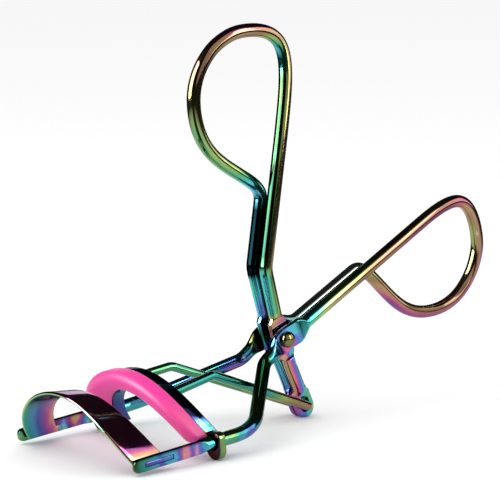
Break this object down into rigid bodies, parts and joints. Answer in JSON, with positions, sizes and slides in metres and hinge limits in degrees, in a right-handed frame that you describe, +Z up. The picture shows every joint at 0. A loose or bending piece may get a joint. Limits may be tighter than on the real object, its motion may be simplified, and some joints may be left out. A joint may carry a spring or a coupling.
{
  "type": "eyelash curler",
  "caption": "Hand-held eyelash curler: two finger-loop handles on a rivet push a padded curved jaw along wire rails against a fixed curved jaw.",
  "frame": {"origin": "on the floor, below the centre of the bounding box", "axes": "+X from the finger loops towards the jaws, +Y across the jaws, +Z up with the tool standing on its lugs and lever end"},
  "size_m": [0.1038, 0.0368, 0.0739],
  "materials": {
    "frame_steel": "polished rainbow oxide coating, teal-green",
    "fixed_jaw_steel": "polished rainbow oxide coating, dark maroon",
    "rivet_steel": "polished rainbow oxide coating, olive gold",
    "lever_steel": "polished rainbow oxide coating, bronze-green",
    "slide_jaw_steel": "polished rainbow oxide coating, black-blue",
    "pad_silicone": "soft matte silicone, hot pink",
    "link_steel": "polished rainbow oxide coating, sage green"
  },
  "bodies": {
    "frame": {"frame_wire": "frame_steel", "fixed_jaw": "fixed_jaw_steel", "pivot_rivet": "rivet_steel"},
    "lever": {"lever_wire": "lever_steel"},
    "carriage": {"slide_jaw": "slide_jaw_steel", "jaw_pad": "pad_silicone", "push_link": "link_steel"}
  },
  "joints": [
    {"name": "lever_hinge", "type": "hinge", "parent": "frame", "child": "lever", "pos_m": [0.00228, 0, 0.0159], "axis": [0, -1, 0], "range_deg": [0, 23.9]},
    {"name": "jaw_slide", "type": "slide", "parent": "frame", "child": "carriage", "axis": [0.9963, 0, -0.0854], "range_m": [0, 0.0062]}
  ],
  "couplings": [
    {"joint": "jaw_slide", "follows": "lever_hinge", "m_per_rad": 0.01486}
  ]
}
